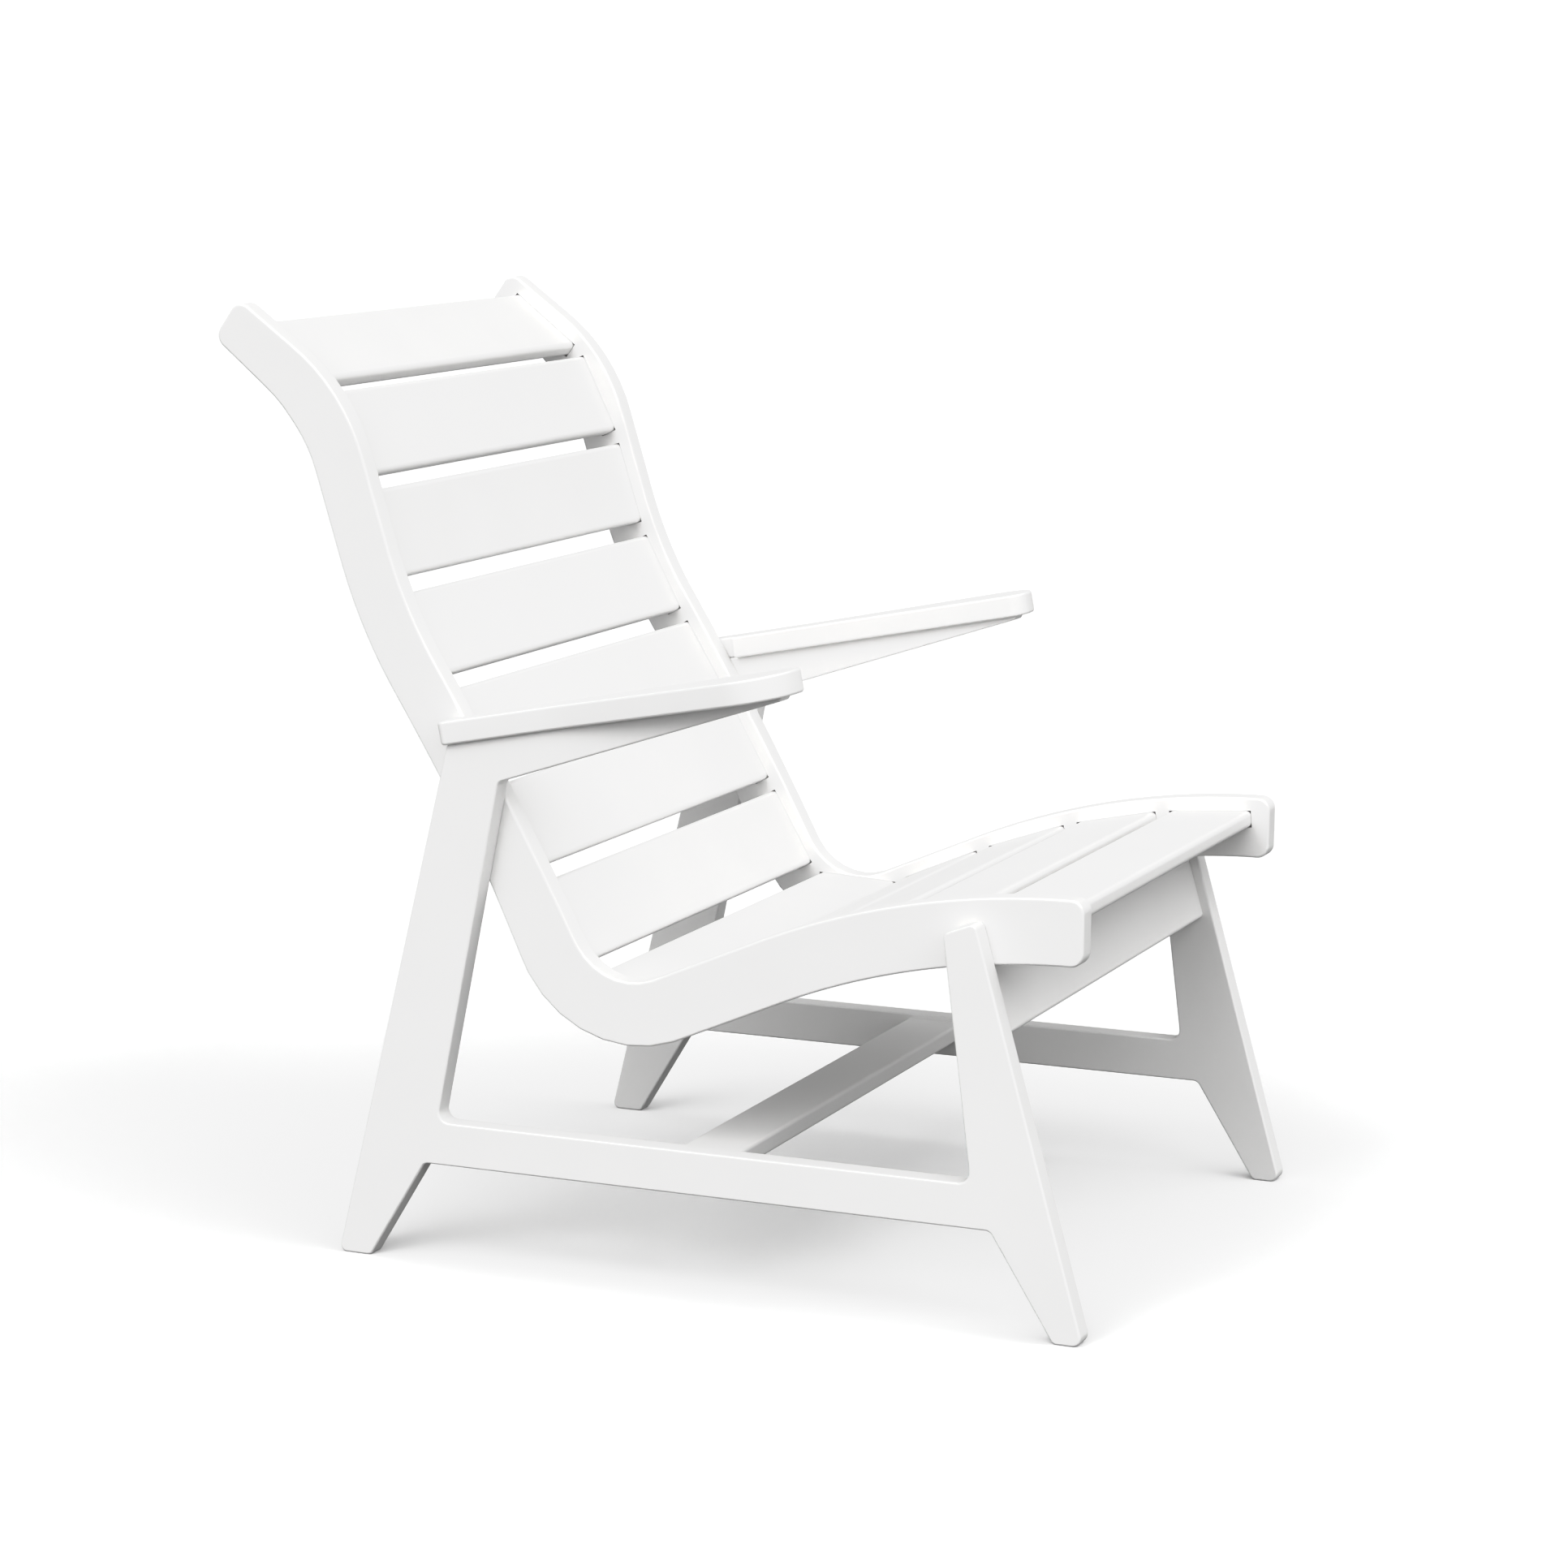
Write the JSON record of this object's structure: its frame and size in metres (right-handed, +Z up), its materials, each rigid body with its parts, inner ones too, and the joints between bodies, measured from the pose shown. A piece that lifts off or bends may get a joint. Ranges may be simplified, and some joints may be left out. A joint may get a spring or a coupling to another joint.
{
  "type": "adirondack lounge chair",
  "caption": "Low slatted lounge chair of thick white sheet: cut side frames, S-curved rails, slatted seat and back, broad sloping arms.",
  "frame": {"origin": "on the floor, under the middle of the chair's footprint box", "axes": "+Z up, the sitter faces -Y, +X is the sitter's left; the X = 0 plane is the plane of symmetry"},
  "size_m": [0.7788, 0.9946, 1.0208],
  "materials": {
    "white_sheet": "fine orange-peel faces, smooth rounded edges",
    "stainless": "plain stainless steel",
    "insert_brass": "plain brass"
  },
  "bodies": {
    "root": {"side_frame_right": "white_sheet", "side_frame_left": "white_sheet", "rail_right": "white_sheet", "rail_left": "white_sheet", "seat_slat_1": "white_sheet", "seat_slat_2": "white_sheet", "seat_slat_3": "white_sheet", "seat_slat_4": "white_sheet", "bend_slat": "white_sheet", "back_slat_1": "white_sheet", "back_slat_2": "white_sheet", "back_slat_3": "white_sheet", "back_slat_4": "white_sheet", "back_slat_5": "white_sheet", "back_slat_6": "white_sheet", "back_slat_7": "white_sheet", "arm_right": "white_sheet", "arm_left": "white_sheet", "front_apron": "white_sheet", "low_crossboard": "white_sheet", "seat_slat_screws": "stainless", "back_slat_screws": "stainless", "board_screws": "stainless", "frame_bolts": "stainless", "bolt_washers": "stainless", "threaded_inserts": "insert_brass", "arm_screws": "stainless"}
  },
  "joints": []
}
